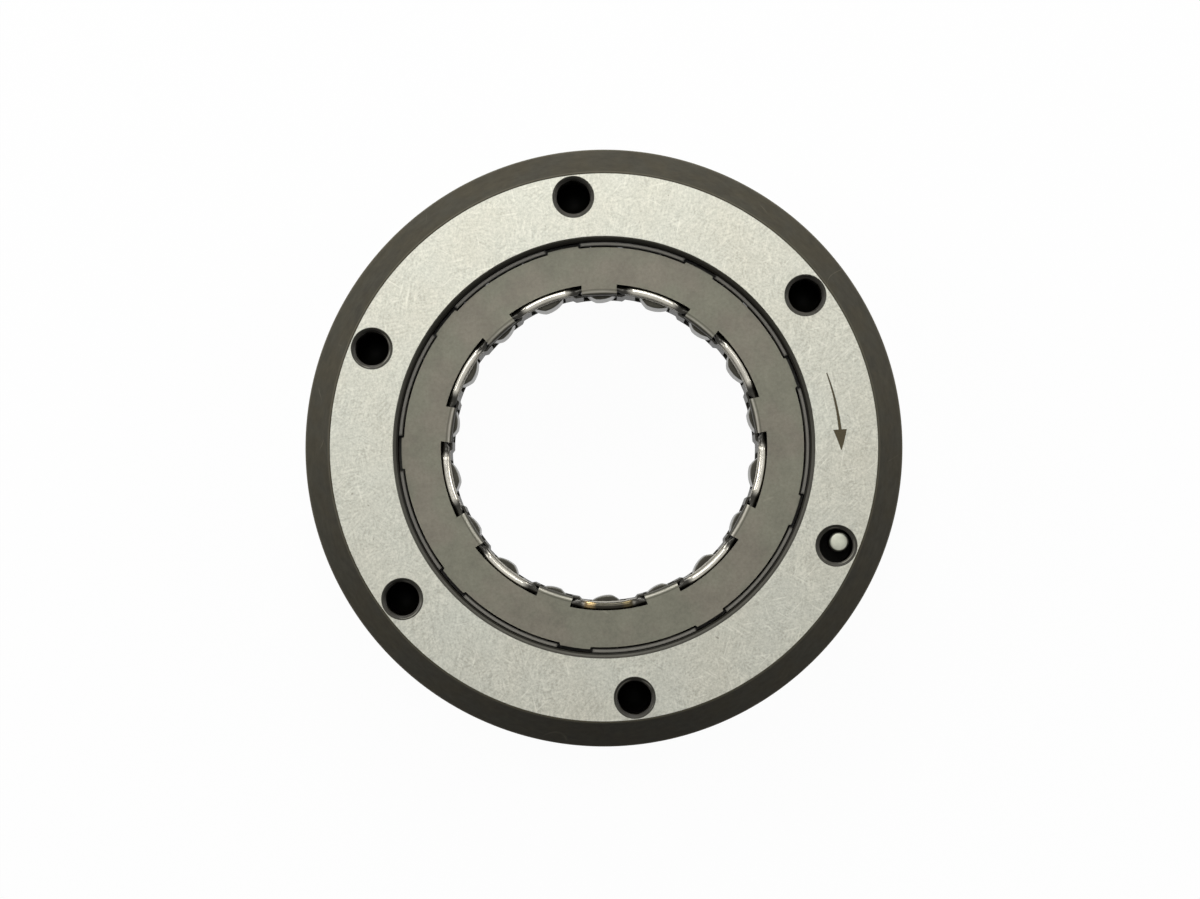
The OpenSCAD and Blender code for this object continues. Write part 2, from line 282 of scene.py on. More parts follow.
def hole_points(station, radius, height, shift=(0.0, 0.0)):
    """Rows of circles about a hole's axis at a station, or about a point shifted sideways and outwards from it"""
    return local(station, radius * np.sin(HOLE_ANGLES) + shift[0],
                 radius * np.cos(HOLE_ANGLES) + shift[1] + HOLE_CIRCLE_R, height)


def holed_sector(station, inner_r, outer_r, hole_r, height, shift=(0.0, 0.0)):
    """A flat sector of a ring round a hole: each border point and its hole point are joined by a line that is
    straight in turn and radius"""
    border_turn, border_r = sector_border(inner_r, outer_r)
    hole_radius, hole_turn = radius_and_turn(*hole_points(0.0, hole_r, 0.0, shift)[:, :2].T)
    share = np.array(SECTOR_ROWS)[:, None]
    angle = (1 - share) * hole_turn + share * border_turn
    radius = (1 - share) * hole_radius + share * border_r
    return polar(radius, angle + station, height)


def thread_wall(station, shape):
    """Wall of a tapped hole: its radius is that of a 60 degree groove on a helix, faded out at the bottom, and
    the cone of the mouth cuts the first turn"""
    pitch = shape.thread_pitch
    cone_foot = FACE_Z - MOUTH_R + TAP_R
    length = shape.thread_turns * pitch
    steps = THREAD_ROWS * shape.thread_turns
    height = np.append(CONE_ROWS, cone_foot - np.linspace(0, length, steps + 1))[:, None]
    along = (height / pitch + HOLE_ANGLES / WHOLE_TURN) % 1.0
    from_groove = np.abs(along - 0.5)
    depth = shape.thread_r - TAP_R - math.tan(turn(60)) * np.clip(from_groove - 1 / 16, 0, None) * pitch
    run_out = smooth(cone_foot - length, cone_foot - length + pitch, height)
    cone = MOUTH_R - (FACE_Z - height)
    radius = np.maximum(TAP_R + np.clip(depth, 0, None) * run_out, cone)
    return hole_points(station, radius, height)


def level_rows(station, path, shift=(0.0, 0.0)):
    """Circles about a hole's axis along a path of radius and height"""
    return hole_points(station, path[:, :1], path[:, 1:], shift)


def make_ring(shape):
    """The ring: a lathed skin outside and in the bore, a flat front of six sectors, each pierced by its hole,
    and a flat back pierced by the pin's bore"""
    shell = Shell()
    edge = shape.edge_round
    angles = FIRST_HOLE + SECTOR / 2 + around(COLUMNS)
    flat = 1.6 * edge
    outside = rounded([(FACE_R - flat, FACE_Z), (FACE_R, FACE_Z), (RING_R, FACE_Z - FRONT_BEVEL_H),
                       (RING_R, BACK_BEVEL), (RING_R - BACK_BEVEL, 0), (RING_R - BACK_BEVEL - flat, 0)],
                      [edge, 2.5 * edge, edge, edge])
    bore = rounded([(TRACK_R + BORE_BEVEL + flat, FACE_Z), (TRACK_R + BORE_BEVEL, FACE_Z),
                    (TRACK_R, FACE_Z - BORE_BEVEL), (TRACK_R, BORE_BEVEL), (TRACK_R + BORE_BEVEL, 0),
                    (TRACK_R + BORE_BEVEL + flat, 0)], edge / 2)
    for path, finish in ((outside, SKIN), (bore, TRACK)):
        shell.grid(lathed(path, angles), finish, closed=True)
    face_in, face_out = bore[0, 0], outside[0, 0]
    back_in, back_out = bore[-1, 0], outside[-1, 0]
    lip = 2 * MOUTH_LIP
    mouth = rounded([(MOUTH_R + lip, FACE_Z), (MOUTH_R, FACE_Z), (MOUTH_R - lip, FACE_Z - lip)], MOUTH_LIP, 4)
    pin_way = PIN_TURN - FIRST_HOLE - PIN_HOLE * SECTOR
    pin_shift = PIN_SHIFT * np.array([math.sin(pin_way), math.cos(pin_way)])
    for k in range(HOLE_COUNT):
        station = FIRST_HOLE + k * SECTOR
        shell.grid(holed_sector(station, face_in, face_out, mouth[0, 0], FACE_Z), GROUND, closed=True)
        shell.grid(level_rows(station, mouth), HOLE, closed=True)
        if k == PIN_HOLE:
            pocket = np.array([mouth[-1], (TAP_R, FACE_Z - MOUTH_R + TAP_R), (TAP_R, PIN_FLOOR)])
            floor = np.linspace(hole_points(station, TAP_R, PIN_FLOOR),
                                hole_points(station, PIN_R, PIN_FLOOR, pin_shift), 3)
            pin_bore = level_rows(station, np.array([(PIN_R, PIN_FLOOR), (PIN_R, 0)]), pin_shift)
            for rows in (level_rows(station, pocket), floor, pin_bore):
                shell.grid(rows, HOLE, closed=True)
            shell.grid(holed_sector(station, back_in, back_out, PIN_R, 0.0, pin_shift), SKIN, closed=True)
        else:
            wall = thread_wall(station, shape)
            neck = level_rows(station, mouth[-1:])
            foot = np.array([(TAP_R, TAP_FLOOR), (0.0, TAP_POINT)])
            shell.grid(np.concatenate([neck, wall, level_rows(station, foot)]), HOLE, closed=True)
            sector = station + np.linspace(-SECTOR / 2, SECTOR / 2, ARC_STEPS + 1)
            radii = np.linspace(back_in, back_out, SIDE_STEPS + 1)[:, None]
            shell.grid(polar(radii, sector, 0.0), SKIN)
    return shell


def rounded_rectangle(half_width, half_height, radius, steps=3):
    """Offsets round a rectangle with round corners, from its middle; the last is the first again"""
    corner = np.append(np.repeat(np.arange(4), steps + 1), 0)
    angle = np.append(np.tile(np.linspace(0, PI / 2, steps + 1), 4), 0.0) + corner * PI / 2
    side, level = np.array([1, -1, -1, 1])[corner], np.array([1, 1, -1, -1])[corner]
    return (side * (half_width - radius) + np.cos(angle) * radius,
            level * (half_height - radius) + np.sin(angle) * radius)


def capped(rows):
    """Rows of points with a row at their mean added before the first and after the last, which closes the ends"""
    first = np.broadcast_to(rows[0, :-1].mean(axis=0), rows[:1].shape)
    last = np.broadcast_to(rows[-1, :-1].mean(axis=0), rows[:1].shape)
    return np.concatenate([first, rows, last])


# Inner cage: behind a recess the wall stands further out, and its window is wider
WALL_OUT, WALL_SLACK, WALL_STEP = 22.8 * MM, 0.02 * MM, 0.36 * MM
STEP_START, STEP_MIDDLE, STEP_END = turn(10), turn(10.6), turn(11.2)
BEHIND_RECESS = turn(12.5)
WINDOW_MIDDLE, WINDOW_HALF, WINDOW_MORE = turn(0.35), turn(6.25), turn(0.5)


def from_lobe(angles):
    """Turn of each angle from the middle of the nearest recess"""
    return (angles - RECESS_STATION + LOBE_PITCH / 2) % LOBE_PITCH - LOBE_PITCH / 2


def make_inner_cage(material):
    """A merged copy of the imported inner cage, cut along its steps. Behind each recess the wall's points move
    outwards, by a smooth S of their turn from the recess's middle, and turn away from the window's middle"""
    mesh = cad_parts["inner_cage"].data.copy()
    cage = bmesh.new()
    cage.from_mesh(mesh)
    bmesh.ops.remove_doubles(cage, verts=cage.verts, dist=MERGE_GAP)
    for k in range(LOBES):
        for reach in (STEP_START, STEP_MIDDLE, STEP_END):
            for angle in (RECESS_STATION + k * LOBE_PITCH - reach, RECESS_STATION + k * LOBE_PITCH + reach):
                bmesh.ops.bisect_plane(cage, geom=[*cage.verts, *cage.edges, *cage.faces], dist=MERGE_GAP / 10,
                                       plane_co=(0, 0, 0), plane_no=(math.cos(angle), -math.sin(angle), 0))
    bmesh.ops.triangulate(cage, faces=cage.faces)
    cage.to_mesh(mesh)
    cage.free()
    points = np.empty(3 * len(mesh.vertices))
    mesh.vertices.foreach_get("co", points)
    points = points.reshape(-1, 3)
    radius, angle = radius_and_turn(*points[:, :2].T)
    phase = from_lobe(angle)
    from_window = phase - WINDOW_MIDDLE
    out = 1 - smooth(STEP_START, STEP_END, np.abs(phase))
    wider = np.clip(from_window / WINDOW_HALF, -1, 1)
    wider *= 1 - smooth(1.2 * WINDOW_HALF, STEP_START, np.abs(from_window))
    moved = polar(radius + WALL_STEP * out, angle + WINDOW_MORE * wider, points[:, 2])
    in_wall = (radius < WALL_OUT + WALL_SLACK) & (np.abs(phase) < BEHIND_RECESS)
    points[in_wall] = moved[in_wall]
    mesh.vertices.foreach_set("co", points.ravel())
    mesh.materials.clear()
    return new_piece("inner_sheet", mesh, [material])


# Ribbon spring
RAIL_R, RAIL_HALF_W = 23.55 * MM, 0.35 * MM
RAIL_LOW, RAIL_HIGH = 13.65 * MM, 14.45 * MM
LOBE_SHIFT, LOBE_ARC_R, LOBE_HALF_W = 7 * MM, 16.6 * MM, 0.55 * MM
LOBE_MIDDLE_R = LOBE_SHIFT + LOBE_ARC_R - 0.04 * MM
LOBE_HIGH = 15 * MM
LOBE_END, LOBE_FADE = turn(11.5), turn(13.4)
DIP_START, DIP_END = turn(7.3), turn(11.6)
CROWN_H, RAIL_BEVEL, RAIL_COLUMNS = 0.37 * MM, 0.1 * MM, 1440
BACK_RAIL_LOW, BACK_RAIL_HIGH = 2.4 * MM, 2.85 * MM
STRIP_T, STRIP_R = 0.25 * MM, 23.2 * MM
BAR_TURN, BAR_HALF_W = turn(-11.057), 0.8 * MM
TONGUE_LOW, TONGUE_HIGH = 5.55 * MM, 10.55 * MM
TONGUE_R, TONGUE_ROOT, TONGUE_CURL, TONGUE_ROWS = 1.037 * MM, -0.1, turn(110), 28
# How deep the ends of the bars lie in the rails, and the tongues in the bars
BAR_SINK, TONGUE_SINK = 0.15 * MM, 0.02 * MM


def front_rail():
    """An upright section with a half round top, carried round the axis. Behind the tabs it is a plain circle. In
    a lobe its middle runs on a circle about a point further out, and it grows wider and taller in a smooth S"""
    angles = around(RAIL_COLUMNS)
    phase = np.abs(from_lobe(angles))
    lobe = 1 - smooth(LOBE_END, LOBE_FADE, phase)
    raised = 1 - smooth(DIP_START, DIP_END, phase)
    near = np.minimum(phase, LOBE_END)
    lobe_r = LOBE_SHIFT * np.cos(near) + np.sqrt(LOBE_ARC_R ** 2 - (LOBE_SHIFT * np.sin(near)) ** 2)
    middle = RAIL_R + (lobe_r - RAIL_R) * lobe
    half = RAIL_HALF_W + (LOBE_HALF_W - RAIL_HALF_W) * lobe
    high = RAIL_HIGH + (LOBE_HIGH - RAIL_HIGH) * raised
    crown = np.linspace(0, PI, 17)[:, None]
    low, foot = np.full_like(half, RAIL_LOW), RAIL_BEVEL
    across = np.concatenate([np.cos(crown) * half, [-half, foot - half, half - foot, half, half]])
    up = np.concatenate([high - CROWN_H * (1 - np.sin(crown)), [low + foot, low, low, low + foot, high - CROWN_H]])
    return polar(middle + across, angles, up)


def back_rail():
    """A rounded rectangle carried round the axis"""
    across, up = rounded_rectangle(RAIL_HALF_W, (BACK_RAIL_HIGH - BACK_RAIL_LOW) / 2, RAIL_BEVEL)
    middle = (BACK_RAIL_HIGH + BACK_RAIL_LOW) / 2
    angles = around(RAIL_COLUMNS // 2)
    return polar((RAIL_R + across)[:, None], angles, (middle + up)[:, None])


def make_spring(shape):
    """Both rails, and for each sprag a cross bar"""
    shell = Shell().grid(front_rail(), closed=True).grid(back_rail(), closed=True)
    across, out = rounded_rectangle(BAR_HALF_W, STRIP_T / 2, shape.strip_round)
    height = np.array([BACK_RAIL_HIGH - BAR_SINK, RAIL_LOW + BAR_SINK])[:, None]
    for k in range(SPRAGS):
        shell.grid(capped(local(bar_station(k), across, STRIP_R + STRIP_T / 2 + out, height)))
    return shell


def bar_station(number):
    return SPRAG_STATION + BAR_TURN + number * WHOLE_TURN / SPRAGS


def tongue_line(number, sweep, reach, height):
    """Points of a tongue's arc, which leaves its bar sideways and curls outwards"""
    x = BAR_HALF_W - TONGUE_SINK + reach * np.sin(sweep)
    return local(bar_station(number), x, STRIP_R + TONGUE_R - reach * np.cos(sweep), height)


def make_tongue(number, shape):
    """A rounded section carried along the tongue's arc"""
    thick, up = rounded_rectangle(STRIP_T / 2, (TONGUE_HIGH - TONGUE_LOW) / 2, shape.strip_round)
    sweep = np.linspace(TONGUE_ROOT, TONGUE_CURL, TONGUE_ROWS)[:, None]
    middle = (TONGUE_LOW + TONGUE_HIGH) / 2
    return Shell().grid(capped(tongue_line(number, sweep, TONGUE_R - STRIP_T / 2 + thick, middle + up)))


# Sprags, each drawn on its own station, about the middle of its body
SPRAG_LOW, SPRAG_HIGH = 3 * MM, 13.1 * MM
SPRAG_MID_R = 26.248 * MM
SPRAG_LEAN = turn(7)
CAM_R, CAM_X, CAM_Y = 4.4 * MM, 0.6 * MM, -0.15 * MM
HEAD_R, HEAD_Y = 2.5 * MM, 2.269 * MM
HOLLOW_R, HOLLOW_X, HOLLOW_END = 1.118 * MM, 2.818 * MM, 0.7013 * MM
END_INSET, SPRAG_POINTS = 0.9 * MM, 145


def way_out(x, y, centre_x, centre_y, radius):
    """Distance from the middle to the far side of a circle, along unit directions"""
    along = x * centre_x + y * centre_y
    return along + np.sqrt(along ** 2 - centre_x ** 2 - centre_y ** 2 + radius ** 2)


def sprag_outline(angles):
    """Distance from the middle to a sprag's outline: two heads joined by hollow flanks, inside both cam circles"""
    x, y = np.sin(angles), np.cos(angles)
    lean_x, lean_y = np.sin(angles - SPRAG_LEAN), np.cos(angles - SPRAG_LEAN)
    heads = np.maximum(way_out(lean_x, lean_y, 0, HEAD_Y, HEAD_R), way_out(lean_x, lean_y, 0, -HEAD_Y, HEAD_R))
    along = np.abs(lean_x) * HOLLOW_X
    flank = along - np.sqrt(np.clip(along ** 2 - HOLLOW_X ** 2 + HOLLOW_R ** 2, 0, None))
    in_hollow = (along ** 2 > HOLLOW_X ** 2 - HOLLOW_R ** 2) & (flank * np.abs(lean_y) < HOLLOW_END)
    body = np.where(in_hollow, flank, heads)
    cams = np.minimum(way_out(x, y, CAM_X, CAM_Y, CAM_R), way_out(x, y, -CAM_X, -CAM_Y, CAM_R))
    return np.minimum(body, cams)


def make_sprag(number, shape):
    """The outline carried along the axis and drawn in at both ends along a rounded edge"""
    angles = np.linspace(0, WHOLE_TURN, SPRAG_POINTS)
    path = rounded([(-END_INSET, SPRAG_LOW), (0, SPRAG_LOW), (0, SPRAG_HIGH), (-END_INSET, SPRAG_HIGH)],
                   shape.sprag_round)
    reach = sprag_outline(angles) + path[:, :1]
    rows = local(SPRAG_STATION + number * WHOLE_TURN / SPRAGS, reach * np.sin(angles),
                 SPRAG_MID_R + reach * np.cos(angles), path[:, 1:])
    return Shell().grid(capped(rows))


# Locating pin
PIN_TOP = FACE_Z - 1.2 * MM
PIN_GAP = 0.01 * MM
PIN_BEVEL, PIN_SHOULDER, PIN_COLUMNS = 0.25 * MM, 0.3 * MM, 96
DOME_SHARE, FOOT_SHARE = 0.86, 0.6


def make_pin(shape):
    """A lathed pin with a bevelled foot and a worn, slightly domed end"""
    radius = PIN_R - PIN_GAP
    crown = np.linspace(0, PI / 2, 9)[:, None]
    dome = np.concatenate([radius * DOME_SHARE * np.cos(crown),
                           PIN_TOP - shape.pin_crown * (1 - np.sin(crown))], axis=-1)
    side = rounded([(radius * FOOT_SHARE, 0), (radius - PIN_BEVEL, 0), (radius, PIN_BEVEL),
                    (radius, dome[0, 1] - PIN_SHOULDER), dome[0]], PIN_SHOULDER / 2)
    path = np.concatenate([[(0.0, 0.0)], side, dome[1:]])
    place = hole_points(FIRST_HOLE + PIN_HOLE * SECTOR, 0.0, 0.0)[0] + polar(PIN_SHIFT, PIN_TURN, 0.0)
    return Shell().grid(place + lathed(path, around(PIN_COLUMNS)), closed=True)


class ClutchSteel(bpy.types.PropertyGroup):
    """Colours of the clutch's steels and of what lies on them"""
    ground: colour_setting("Ground face", "Steel of the ring's ground front face", 0.45, 0.446, 0.388)
    hardened: colour_setting("Hardened skin", "Dark skin from heat treatment of the ring", 0.049, 0.0448, 0.0325)
    track: colour_setting("Sprag track", "Ground bore of the ring", 0.12, 0.116, 0.1)
    bevel: colour_setting("Inner bevels", "Dark bevels at the bore and at the holes' mouths", 0.07, 0.067, 0.056)
    # The holes' oiled steel, darkened to paint the shade inside them
    hole: colour_setting("Tapped holes", "Oiled steel inside the holes", 0.05, 0.047, 0.04)
    sheet: colour_setting("Cage sheet", "Satin sheet steel of both cages", 0.175, 0.168, 0.13)
    # Also the colour of the painted highlights on the cage sheets
    strip: colour_setting("Spring strip", "Polished strip of the ribbon spring", 0.66, 0.63, 0.55)
    sprag: colour_setting("Sprags", "Oiled, tumbled steel of the sprags", 0.09, 0.088, 0.076)
    pin: colour_setting("Pin", "Worn end of the locating pin", 0.56, 0.57, 0.47)
    # Also the painted shade along the edges of the spring's lobes
    brown_etch_and_shade: colour_setting("Etched mark", "Brown tone of the arrow etched in the face", 0.048, 0.037, 0.016)
    tinted: colour_setting("Heat tint", "Straw brown beside the strip's dark welded joint", 0.27, 0.19, 0.085)
    # Painted shade for gaps, corners and parts under others, and also the dark of the strip's welded joint
    painted_shade_and_weld: colour_setting("Old oil", "Dark film that lies in gaps and corners", 0.02, 0.018, 0.012)


class ClutchMark(bpy.types.PropertyGroup):
    """Place of the arrow that gives the free running direction"""
    start: angle_setting("Tail", "Clockwise turn of the arrow's tail from +Y", 71.6)
    end: angle_setting("Tip", "Clockwise turn of the arrow's tip from +Y", 90.7)
    tail_r: length_setting("Tail radius", "Distance of the tail from the axis", 34.75)
    tip_r: length_setting("Tip radius", "Distance of the tip from the axis", 35.15)
    head_share: share_setting("Head", "Share of the arrow that its head fills", 0.26, 0.1, 0.9)
    head_half: length_setting("Head half width", "Half the width of the arrow's head", 1.02)
    shaft_half: length_setting("Shaft half width", "Half the width of the shaft where it meets the head", 0.24)
    tail_half: length_setting("Tail half width", "Half the width of the shaft's thin end", 0.09)


class ClutchStudio(bpy.types.PropertyGroup):
    """Camera and light of the studio"""
    distance: length_setting("Camera distance", "From the lens to the ring's front face", 640, 100, 5000)
    frame_width: length_setting("Frame width", "What the picture spans at the ring's front face", 177.6, 20, 2000)
    elevation: angle_setting("Camera elevation", "Angle of the camera above the floor", 88.8, 90)
    aim: FloatVectorProperty(
        name="Aim", description="Point of the front face's plane in the middle of the picture",
        default=(-0.00059, -0.00037), size=2, unit="LENGTH")
    top_power: power_setting("Overhead light", "Power of the soft light overhead, a little beyond the clutch", 0.9)
    back_power: power_setting("Back light", "Power of the low soft light beyond the clutch", 3.3)
    left_power: power_setting("Left light", "Power of the low soft light on the left", 2.4)
    right_power: power_setting("Right light", "Power of the low soft light on the right", 1.8)
    room_light: share_setting("Room light", "Level of the light from all round", 0.06)
    ceiling: share_setting("Ceiling", "Brightness of the room overhead in reflections, where its walls are 1", 0.7)
    floor_glow: share_setting("Floor brightness", "Share of plain white in what is seen of the floor", 0.97)


def colour(rgb, factor=1.0):
    return (*(min(1.0, c * factor) for c in rgb), 1.0)


def node_of(tree, kind):
    """The tree's own node of a kind"""
    return next(node for node in tree.nodes if node.type == kind)


class Nodes:
    """Adds nodes to one shader tree and links what it is given to their inputs"""

    def __init__(self, tree):
        self.tree = tree
        self.count = 0

    def add(self, kind, inputs=None, **settings):
        node = self.tree.nodes.new(kind)
        node.location = (180 * (self.count % 8), -260 * (self.count // 8))
        self.count += 1
        for name, value in settings.items():
            setattr(node, name, value)
        for name, value in (inputs or {}).items():
            self.feed(node.inputs[name], value)
        return node

    def feed(self, socket, value):
        if isinstance(value, bpy.types.NodeSocket):
            self.tree.links.new(value, socket)
        else:
            socket.default_value = value

    def feed_all(self, node, *values):
        for socket, value in zip(node.inputs, values):
            self.feed(socket, value)
        return node.outputs

    def math(self, operation, *values):
        return self.feed_all(self.add("ShaderNodeMath", operation=operation), *values)[0]

    def chain(self, operation, first, *others):
        """A math operation on two values, then on its result and each further value"""
        for other in others:
            first = self.math(operation, first, other)
        return first

    times = partialmethod(chain, "MULTIPLY")
    plus = partialmethod(chain, "ADD")
    minus = partialmethod(chain, "SUBTRACT")
    most = partialmethod(chain, "MAXIMUM")
    above = partialmethod(chain, "GREATER_THAN")
    below = partialmethod(chain, "LESS_THAN")

    def gap(self, value, middle):
        """How far a value is from a middle, on either side"""
        return self.math("ABSOLUTE", self.minus(value, middle))

    def near(self, value, middle, full, none, strength=1.0):
        """strength where a value is closer to a middle than full, and 0 further off than none"""
        return self.span(self.gap(value, middle), full, none, strength, 0.0)

    def vector(self, operation, *values):
        outputs = self.feed_all(self.add("ShaderNodeVectorMath", operation=operation), *values)
        return outputs["Value" if operation in ("LENGTH", "DOT_PRODUCT") else "Vector"]

    def combine(self, x=0.0, y=0.0, z=0.0):
        return self.add("ShaderNodeCombineXYZ", {"X": x, "Y": y, "Z": z}).outputs[0]

    def split(self, vector):
        return self.add("ShaderNodeSeparateXYZ", {"Vector": vector}).outputs

    def span(self, value, low, high, to_low=0.0, to_high=1.0, smooth=False):
        """value from low to high becomes to_low to to_high, and stays there outside"""
        return self.add("ShaderNodeMapRange", {"Value": value, "From Min": low, "From Max": high,
                                               "To Min": to_low, "To Max": to_high},
                        interpolation_type="SMOOTHSTEP" if smooth else "LINEAR").outputs[0]

    def mix(self, amount, first, second, blend="MIX"):
        node = self.add("ShaderNodeMix", data_type="RGBA", blend_type=blend)
        inputs = {socket.identifier: socket for socket in node.inputs}
        for name, value in (("Factor_Float", amount), ("A_Color", first), ("B_Color", second)):
            self.feed(inputs[name], value)
        return next(socket for socket in node.outputs if socket.identifier == "Result_Color")

    def shades(self, amount, rgb, low, high):
        """From a darker to a lighter shade of one colour"""
        return self.mix(amount, colour(rgb, low), colour(rgb, high))

    def tinted(self, base, amount, first, second):
        """The base, multiplied by a mix of two tints"""
        return self.mix(1.0, base, self.mix(amount, (*first, 1.0), (*second, 1.0)), "MULTIPLY")

    def noise(self, place, scale, detail=3.0, roughness=0.55):
        return self.add("ShaderNodeTexNoise", {"Vector": place, "Scale": scale, "Detail": detail,
                                               "Roughness": roughness}).outputs["Fac"]

    def relief(self, height, depth):
        """Normal of a relief whose full height is depth, in metres"""
        return self.add("ShaderNodeBump", {"Height": height, "Distance": depth}).outputs["Normal"]

    def blend(self, amount, first, second):
        """Mix of two shaders"""
        return self.feed_all(self.add("ShaderNodeMixShader"), amount, first, second)[0]


def group_tree(name, inputs, outputs):
    """A node group, its node builder, its inputs' values by name and its output sockets. inputs holds defaults: one
    of None is a vector. The output Position is a vector too, and all the others are numbers"""
    tree = bpy.data.node_groups.new(name, "ShaderNodeTree")
    for socket, default in inputs.items():
        kind = "NodeSocketVector" if default is None else "NodeSocketFloat"
        made = tree.interface.new_socket(socket, in_out="INPUT", socket_type=kind)
        if default is not None:
            made.default_value = default
    for socket in outputs:
        kind = "NodeSocketVector" if socket == "Position" else "NodeSocketFloat"
        tree.interface.new_socket(socket, in_out="OUTPUT", socket_type=kind)
    nodes = Nodes(tree)
    given = nodes.add("NodeGroupInput").outputs
    return tree, nodes, given, nodes.add("NodeGroupOutput").inputs


def place_group():
    """Where a point lies on the clutch: its distance from the axis, its clockwise turn and its height"""
    tree, nodes, _, out = group_tree("clutch_place", {}, ("Position", "Radius", "Turn", "Height"))
    position = nodes.add("ShaderNodeTexCoord").outputs["Object"]
    split = nodes.split(position)
    nodes.feed(out["Position"], position)
    nodes.feed(out["Radius"], nodes.vector("LENGTH", nodes.combine(split["X"], split["Y"])))
    nodes.feed(out["Turn"], nodes.math("ARCTAN2", split["X"], split["Y"]))
    nodes.feed(out["Height"], split["Z"])
    return tree


# Direction of each family of grinding marks in degrees, and how far it sways in metres
GRINDING = (12, 0.0012), (47, -0.0011), (78, 0.0013), (104, -0.0012), (151, 0.001)


def grinding_group():
    """Marks of a wide wheel: a fine grain, families of long, slightly bent streaks that cross, each strong in its
    own patches, and a few bright strokes"""
    tree, nodes, given, out = group_tree("grinding_marks", {"Position": None, "Pitch": 3600.0, "Reach": 480.0},
                                         ("Streaks", "Strokes"))
    position, pitch, reach = given["Position"], given["Pitch"], given["Reach"]
    sway = nodes.noise(position, 60.0, 1.0)
    streaks, strokes = [], []
    for k, (degrees, bend) in enumerate(GRINDING):
        x, y = math.cos(turn(degrees)), math.sin(turn(degrees))
        along = nodes.times(nodes.vector("DOT_PRODUCT", position, (x, y, 0.0)), reach)
        across = nodes.vector("DOT_PRODUCT", position, (-y, x, 0.0))
        bent = nodes.times(nodes.plus(across, nodes.times(sway, bend)), pitch)
        streak = nodes.minus(nodes.noise(nodes.combine(bent, along, 7.3 * k), 1.0, 1.0, 0.5), 0.5)
        patch = nodes.noise(nodes.vector("ADD", position, (0.3 * k, 0.1, 0.0)), 260.0, 1.0)
        streaks.append(nodes.times(streak, nodes.span(patch, 0.42, 0.62)))
        stroke = nodes.combine(nodes.times(bent, 0.8), nodes.times(along, 0.45), 3.1 + k)
        strokes.append(nodes.span(nodes.noise(stroke, 1.0, 0.0), 0.76, 0.84))
    grain = nodes.minus(nodes.noise(position, 2800.0, 3.0, 0.85), 0.5)
    total = nodes.plus(nodes.times(nodes.plus(*streaks), 0.55), nodes.times(grain, 1.3))
    nodes.feed(out["Streaks"], nodes.span(total, -0.25, 0.25))
    nodes.feed(out["Strokes"], nodes.most(*strokes))
    return tree


def mottle_group():
    """Slow patches of two tones and a fine grain over them"""
    tree, nodes, given, out = group_tree(
        "steel_mottle", {"Position": None, "Patch Scale": 140.0, "Grain Scale": 3500.0}, ("Patches", "Grain"))
    nodes.feed(out["Patches"], nodes.span(nodes.noise(given["Position"], given["Patch Scale"], 4.0), 0.3, 0.7))
    nodes.feed(out["Grain"], nodes.noise(given["Position"], given["Grain Scale"], 2.0, 0.7))
    return tree


def scuffs_group():
    """Hairline scratches: the thin middle lines of a slow noise, kept in a few places"""
    tree, nodes, given, out = group_tree(
        "hairline_scuffs", {"Position": None, "Scale": 60.0, "Width": 0.006}, ("Scuffs",))
    thin = nodes.near(nodes.noise(given["Position"], given["Scale"], 0.0), 0.5, 0.0, given["Width"])
    where = nodes.span(nodes.noise(given["Position"], nodes.times(given["Scale"], 2.3), 1.0), 0.58, 0.66)
    nodes.feed(out["Scuffs"], nodes.times(thin, where))
    return tree


def nicks_group():
    """Small pits: the peaks of a noise, few and far between"""
    tree, nodes, given, out = group_tree(
        "small_nicks", {"Position": None, "Scale": 900.0, "Rarity": 0.78}, ("Nicks",))
    peaks = nodes.noise(given["Position"], given["Scale"], 1.0)
    nodes.feed(out["Nicks"], nodes.span(peaks, given["Rarity"], nodes.plus(given["Rarity"], 0.05)))
    return tree


GROUPS = {"place": place_group, "grinding": grinding_group, "mottle": mottle_group, "scuffs": scuffs_group,
          "nicks": nicks_group}
built = {}


class Finish(Nodes):
    """A material with its nodes and the inputs of its Principled node"""

    def __init__(self, name, metallic=1.0, roughness=0.5, specular=0.5):
        self.material = bpy.data.materials.new(name)
        self.material.use_nodes = True
        super().__init__(self.material.node_tree)
        self.surface = node_of(self.tree, "BSDF_PRINCIPLED").inputs
        for socket, value in (("Metallic", metallic), ("Roughness", roughness), ("Specular IOR Level", specular)):
            self.surface[socket].default_value = value

    def finished(self, **inputs):
        """Feeds the Principled node, and gives the material"""
        for socket, value in inputs.items():
            self.feed(self.surface[socket.replace("_", " ")], value)
        return self.material

    def group(self, name, **inputs):
        """One of the shared groups, built on first use"""
        if name not in built:
            built[name] = GROUPS[name]()
        inputs = {socket.replace("_", " "): value for socket, value in inputs.items()}
        return self.add("ShaderNodeGroup", inputs, node_tree=built[name]).outputs


class Steel(Finish):
    """A finish that knows where each point lies on the clutch"""

    def __init__(self, name, **gloss):
        super().__init__(name, **gloss)
        self.position, self.radius, self.turn, self.height = self.group("place")

    def effect(self, name, **inputs):
        return self.group(name, Position=self.position, **inputs)

    def round_axis(self, pitch, reach):
        """Place for a pattern that is drawn out round the axis"""
        return self.combine(*map(self.times, (self.radius, self.height, self.turn), (pitch, pitch, reach)))

    def below_top(self, top, deep, shallow, to_deep=0.0, to_shallow=1.0):
        """A span of height, between two depths in millimetres below a top"""
        return self.span(self.height, top - deep * MM, top - shallow * MM, to_deep, to_shallow)

    def from_nearest(self, station):
        """Turn from the nearest of nine stations"""
        return self.math("PINGPONG", self.minus(self.turn, station), LOBE_PITCH / 2)


# The arrow's blunt tip, and how rough and how soft its edges are
TIP_HALF, EDGE_ROUGH, EDGE_SOFT = 0.06 * MM, 0.1 * MM, 0.03 * MM


